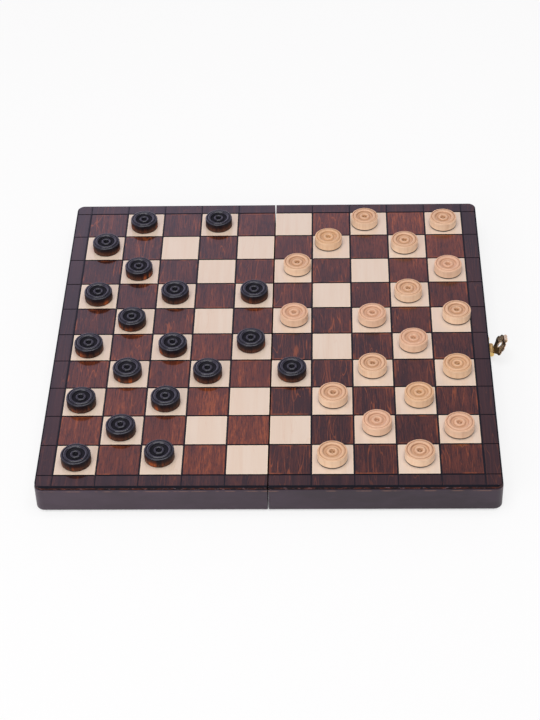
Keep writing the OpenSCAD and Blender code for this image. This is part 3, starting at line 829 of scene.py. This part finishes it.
def lightManTop(w, grain, moved, pick, radius, z):
    # turned end grain: fine rings from the tool, the tree's own arcs and pores, with painted shade in the
    # dish, in the groove, at the dish's edges and in the dimple
    marks = lightMen["marks"]
    # painted shade: lower in the dish the wood is darker
    top = w.mix(w.spread(z, *fromTop(*lightMen["crestFrom"])), lightMen["dish"], lightMen["top"])
    out = w.times(radius, lightMen["toolWaves"])
    tooled = w.noise(w.join(out, w.times(pick, lightMen["toolApart"]), 0.0), 1, detail=2)
    top = w.mix(w.mark(tooled, marks["tooled"]), top, lightMen["groove"])
    wave = w.node("ShaderNodeTexWave", wave_type="BANDS", bands_direction="X")
    arcs = w.feedNamed(wave, Vector=w.stretch(moved, (1, 1, 0)), **lightMen["arcs"]).outputs["Fac"]
    top = w.mix(w.mark(arcs, marks["arcs"]), top, lightMen["streak"])
    top = w.mix(w.mark(grain["pore"], marks["pore"]), top, lightMen["groove"])
    # painted shade in the groove and at the dish's edges
    top = w.mix(topLines(w, radius, lightMen["lines"]), top, lightMen["groove"])
    # painted shade in the dimple round the pip
    dimple = w.times(w.spread(radius, *lightMen["dimpleFrom"]), w.spread(radius, *lightMen["dimpleTo"]))
    return w.mix(dimple, top, lightMen["dimple"])


def lightManMaterial():
    material, w = newMaterial("lightMan")
    moved, pick, radius, z = manCoordinates(w, lightMen["apart"])
    marks = lightMen["marks"]
    grain = w.noises(moved, lightMen["grain"])
    side = w.mix(w.mark(grain["streak"], marks["streak"]), lightMen["side"], lightMen["streak"])
    top = lightManTop(w, grain, moved, pick, radius, z)
    onTop = w.most(w.spread(z, *fromTop(*lightMen["topFrom"])),
                   w.spread(radius, *fromSide(*lightMen["rimFrom"])))
    color = w.mix(onTop, side, top)
    # some of the wood is rosy and some golden, and a painted shadow line darkens the foot
    color = w.mix(w.mark(pick, marks["rosy"]), color, lightMen["rosy"])
    color = w.mix(w.mark(pick, marks["gold"]), color, lightMen["gold"])
    color = w.mix(w.mark(z, marks["shadowLine"]), color, lightMen["shadowLine"])
    w.surface(color=color, rough=lightMen["rough"], specular=lightMen["specular"],
              normal=w.bump(grain["streak"], *lightMen["bump"]))
    return material


# Fittings: the plated barrel is bright, the pressed flap is browned and rubbed on its ridges
fittings = {
    "brass": "#ecca83",
    "brassDull": "#c39b57",
    "steel": "#8c9095",
    "steelDull": "#6d7075",
    "nickel": "#b9bbbf",
    "nickelDull": "#8f9196",
    "bronze": "#705f48",
    "bronzeDark": "#2f2419",
    "bronzeRub": "#ffdcb6",
    "ribRub": "#e8d4b4",
    # roughness and the tarnish's waves to a metre
    "brassLook": (0.3, 900),
    "steelLook": (0.35, 60),
    "nickelLook": (0.22, 300),
    "tarnish": (0.42, 0.7, 1.0),
    "tarnishGrain": (4, 0.6),
    "tarnishSpan": (0.3, 0.7),
    "tarnishRough": (0.8, 1.3),     # shares of the roughness, bright and dull
    "brushing": 3,                  # times finer than the tarnish, aside and in height
    "metalBump": (0.02 * mm, 0.4),
}


def metalMaterial(name, metal):
    material, w = newMaterial(name)
    place = w.objectPlace()
    rough, scale = fittings[metal + "Look"]
    tarnish = w.noise(place, scale, *fittings["tarnishGrain"])
    color = w.mix(w.mark(tarnish, fittings["tarnish"]), fittings[metal], fittings[metal + "Dull"])
    fine = scale * fittings["brushing"]
    brushed = w.noise(place, (fine, scale, fine))
    roughSpan = [rough * share for share in fittings["tarnishRough"]]
    w.surface(color=color, metal=1.0, rough=w.spread(tarnish, *fittings["tarnishSpan"], *roughSpan),
              normal=w.bump(brushed, *fittings["metalBump"]))
    return material


flap = {
    "axis": (178.2 * mm, 0, 5.4 * mm),    # of its barrel
    "lean": 50,                           # its slope at rest, in degrees
    "leafTop": -1.55 * mm,                # height of its plain face over that slope
    "ribs": (0.05 * mm, 0.2 * mm),        # over the plain face
    "barrel": 2.4 * mm,
    "barrelFade": 0.15 * mm,
    "grain": {"tarnish": (1500, 4, 0.65), "cloud": (420, 2)},
    "browned": (0.36, 0.62, 1.0),
    "rubbedRibs": (0.25, 0.6, 1.0),
    "steep": (0.5, 0.2, 1.0),             # how level a face is, from not rubbed to rubbed
    "rubbedEdges": (0.36, 0.56, 1.0),
    "metal": 0.7,
    "rough": (0.3, 0.7, 0.34, 0.52),
    "bump": (0.05 * mm, 0.5),
}


def flapMaterial():
    # browned in the stamped hollows, rubbed bright on ribs and edges
    material, w = newMaterial("pressedFlap")
    place = w.objectPlace()
    lean = math.radians(flap["lean"])
    facing = (-math.sin(lean), 0, math.cos(lean))
    away = w.vector("SUBTRACT", place, flap["axis"])
    lift = w.vector("DOT_PRODUCT", away, facing)
    fromAxis = w.vector("LENGTH", w.vector("MULTIPLY", away, (1, 0, 1)))
    normal = w.node("ShaderNodeNewGeometry").outputs["True Normal"]
    level = w.size(w.vector("DOT_PRODUCT", normal, facing))
    grain = w.noises(place, flap["grain"])
    color = w.mix(w.mark(grain["tarnish"], flap["browned"]), fittings["bronzeDark"], fittings["bronze"])
    raised = w.spread(lift, *(flap["leafTop"] + rise for rise in flap["ribs"]))
    color = w.mix(w.times(raised, w.mark(grain["tarnish"], flap["rubbedRibs"])), color, fittings["ribRub"])
    edge = w.times(w.mark(level, flap["steep"]), w.mark(grain["cloud"], flap["rubbedEdges"]))
    color = w.mix(edge, color, fittings["bronzeRub"])
    onBarrel = w.spread(fromAxis, flap["barrel"], flap["barrel"] - flap["barrelFade"])
    color = w.mix(onBarrel, color, fittings["brass"])
    w.surface(color=color, metal=flap["metal"], rough=w.spread(grain["tarnish"], *flap["rough"]),
              normal=w.bump(grain["tarnish"], *flap["bump"]))
    return material


# Felt in the trays
felt = {
    "color": "#24452f",
    "fibre": "#3f6b4b",
    "step": 4 * mm,
    "lift": 0.15 * mm,         # how far its face goes up and down
    "waves": 160,
    "grain": {"fuzz": (1600, 3, 0.7), "tufts": (260, 3, 0.6)},
    "fuzzMark": (0.4, 0.7, 1.0),
    "tuftMark": (0.45, 0.7, 0.4),
    "bump": (0.2 * mm, 0.8),
    "rough": 0.95,
    "specular": 0.2,
    "sheen": 0.5,
    "sheenRough": 0.5,
}


def feltMaterial():
    material, w = newMaterial("greenFelt")
    grain = w.noises(w.objectPlace(), felt["grain"])
    color = w.mix(w.mark(grain["fuzz"], felt["fuzzMark"]), felt["color"], felt["fibre"])
    color = w.mix(w.mark(grain["tufts"], felt["tuftMark"]), color, felt["color"])
    w.surface(color=color, rough=felt["rough"], specular=felt["specular"], sheen=felt["sheen"],
              sheenRough=felt["sheenRough"], normal=w.bump(grain["fuzz"], *felt["bump"]))
    return material


def feltGrid(mesh, low, high, stepsX, stepsY):
    grid = {}
    for layer in (0, 1):
        for i in range(stepsX + 1):
            for j in range(stepsY + 1):
                x = low.x + (high.x - low.x) * i / stepsX
                y = low.y + (high.y - low.y) * j / stepsY
                z = low.z if layer == 0 else high.z
                if layer == 0:
                    z += felt["lift"] * (0.5 + 0.5 * noise.noise(Vector((x, y, 0)) * felt["waves"]))
                grid[layer, i, j] = mesh.verts.new((x, y, z))
    return grid


def layFelt(side, body, finish):
    low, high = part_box(side + "_lining")
    stepsX = round((high.x - low.x) / felt["step"])
    stepsY = round((high.y - low.y) / felt["step"])
    mesh = bmesh.new()
    grid = feltGrid(mesh, low, high, stepsX, stepsY)
    for layer in (0, 1):
        for i in range(stepsX):
            for j in range(stepsY):
                mesh.faces.new([grid[layer, i + a, j + b] for a, b in ((0, 0), (1, 0), (1, 1), (0, 1))])
    rim = [(i, 0) for i in range(stepsX)] + [(stepsX, j) for j in range(stepsY)]
    rim += [(i, stepsY) for i in range(stepsX, 0, -1)] + [(0, j) for j in range(stepsY, 0, -1)]
    for (i, j), (k, m) in zip(rim, rim[1:] + rim[:1]):
        mesh.faces.new([grid[0, i, j], grid[0, k, m], grid[1, k, m], grid[1, i, j]])
    bmesh.ops.recalc_face_normals(mesh, faces=mesh.faces)
    data = bpy.data.meshes.new(side + "Felt")
    mesh.to_mesh(data)
    mesh.free()
    data.materials.append(finish)
    piece = bpy.data.objects.new(side + "Felt", data)
    bpy.context.scene.collection.objects.link(piece)
    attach(piece, body)
    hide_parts(side + "_lining")


def buildFloor():
    size = studio["floorSize"]
    mesh = bpy.data.meshes.new("floor")
    corners = [(-size, -size), (size, -size), (size, size), (-size, size)]
    height = cadLow.z - studio["floorDrop"]
    mesh.from_pydata([(x / 2, y / 2, height) for x, y in corners], [], [(0, 1, 2, 3)])
    floor = bpy.data.objects.new("floor", mesh)
    bpy.context.scene.collection.objects.link(floor)
    material, w = newMaterial("paleFloor")
    rays = w.node("ShaderNodeLightPath").outputs
    seen = w.most(rays["Is Camera Ray"], rays["Is Glossy Ray"], rays["Is Transmission Ray"])
    shaded = w.feedNamed(w.node("ShaderNodeBsdfDiffuse"), Color=studio["floorColor"])
    white = w.feedNamed(w.node("ShaderNodeEmission"), Color=studio["white"])
    # no white shows where the floor is shut in, as under the seam
    openness = w.node("ShaderNodeAmbientOcclusion", samples=studio["floorSamples"])
    w.feedNamed(openness, Distance=studio["floorShutIn"])
    whiteShare = w.times(w.spread(openness.outputs["AO"], *studio["floorOpen"]), studio["floorWhite"])
    both = w.node("ShaderNodeMixShader")
    w.feedAll(both, w.times(seen, whiteShare), shaded.outputs[0], white.outputs[0])
    w.feedAll(w.node("ShaderNodeOutputMaterial"), both.outputs[0])
    mesh.materials.append(material)


def buildSky():
    # one sky lights the set, one is mirrored in it, and the camera sees a white one
    world = bpy.data.worlds.new("softStudio")
    bpy.context.scene.world = world
    world.use_nodes = True
    w = Wiring(world.node_tree)
    rays = w.node("ShaderNodeLightPath").outputs
    aside, _, height = w.split(w.node("ShaderNodeTexCoord").outputs["Generated"])
    sky = w.mix(w.spread(height, 0.0, studio["skyTop"]), studio["skyLow"], studio["skyHigh"])
    plain = w.feedNamed(w.node("ShaderNodeBackground"), Color=sky, Strength=studio["skyStrength"])
    shine = w.times(w.spread(height, *studio["sheenBand"]), w.spread(aside, *studio["sheenSide"]),
                    studio["sheenStrength"])
    glossy = w.feedNamed(w.node("ShaderNodeBackground"), Color=studio["sheen"], Strength=shine)
    white = w.feedNamed(w.node("ShaderNodeBackground"), Color=studio["white"])
    mirrored = w.most(rays["Is Glossy Ray"], rays["Is Transmission Ray"])
    first = w.feedAll(w.node("ShaderNodeMixShader"), mirrored, plain.outputs[0], glossy.outputs[0])
    second = w.node("ShaderNodeMixShader")
    w.feedAll(second, rays["Is Camera Ray"], first.outputs[0], white.outputs[0])
    w.feedAll(w.node("ShaderNodeOutputWorld"), second.outputs[0])


def softLamp(name):
    # it faces the middle of the board
    place, size, watts = studio[name]
    data = bpy.data.lights.new(name, "AREA")
    data.shape = "RECTANGLE"
    data.size, data.size_y = size
    data.energy = watts
    lamp = bpy.data.objects.new(name, data)
    lamp.location = place
    lamp.rotation_mode = "QUATERNION"
    lamp.rotation_quaternion = (-Vector(place)).to_track_quat("-Z", "Y")
    bpy.context.scene.collection.objects.link(lamp)


def buildCamera():
    data = bpy.data.cameras.new("camera")
    data.sensor_width = camera["sensor"]
    data.lens = camera["focalPixels"] / camera["pictureHeight"] * camera["sensor"]
    data.clip_start, data.clip_end = camera["clip"]
    shot = bpy.data.objects.new("camera", data)
    shot.location = camera["place"]
    shot.rotation_euler = camera["turn"]
    bpy.context.scene.collection.objects.link(shot)
    bpy.context.scene.camera = shot


buildCamera()
buildFloor()
buildSky()
softLamp("topBox")
softLamp("frontBox")
bpy.context.scene.view_settings.view_transform = "Standard"
print("camera, floor and lights set")

wear(panelMaterial(), "left_panel", "right_panel")
railFinish = railMaterial()
for side in ("left_", "right_"):
    wear(railFinish, *[side + part for part in ("front_rail", "back_rail", "outer_rail", "fold_rail")])
print("panels and rails finished")

wear(metalMaterial("platedBrass", "brass"),
     "hinge_left_leaves", "hinge_right_leaves", "hinge_pins", "hasp_plate", "hasp_catch")
wear(flapMaterial(), "hasp_flap")
wear(metalMaterial("sheetSteel", "steel"), "left_steel_sheet", "right_steel_sheet")
wear(metalMaterial("nickel", "nickel"), "left_men_magnets", "right_men_magnets")
print("fittings finished")

feltFinish = feltMaterial()
layFelt("left", "left_half", feltFinish)
layFelt("right", "right_half", feltFinish)
print("felt laid in the trays")

turning = turningTree()
darkNames = sorted(name for name in nodes if name.startswith("dark_man_"))
lightNames = sorted(name for name in nodes if name.startswith("light_man_"))
darkFinish = darkManMaterial()
standMen(turning, "darkMenLeft", darkNames[:-1], "left_half", darkFinish)
standMen(turning, "darkManRight", darkNames[-1:], "right_half", darkFinish)
standMen(turning, "lightMen", lightNames, "right_half", lightManMaterial())
print("men turned and set out")
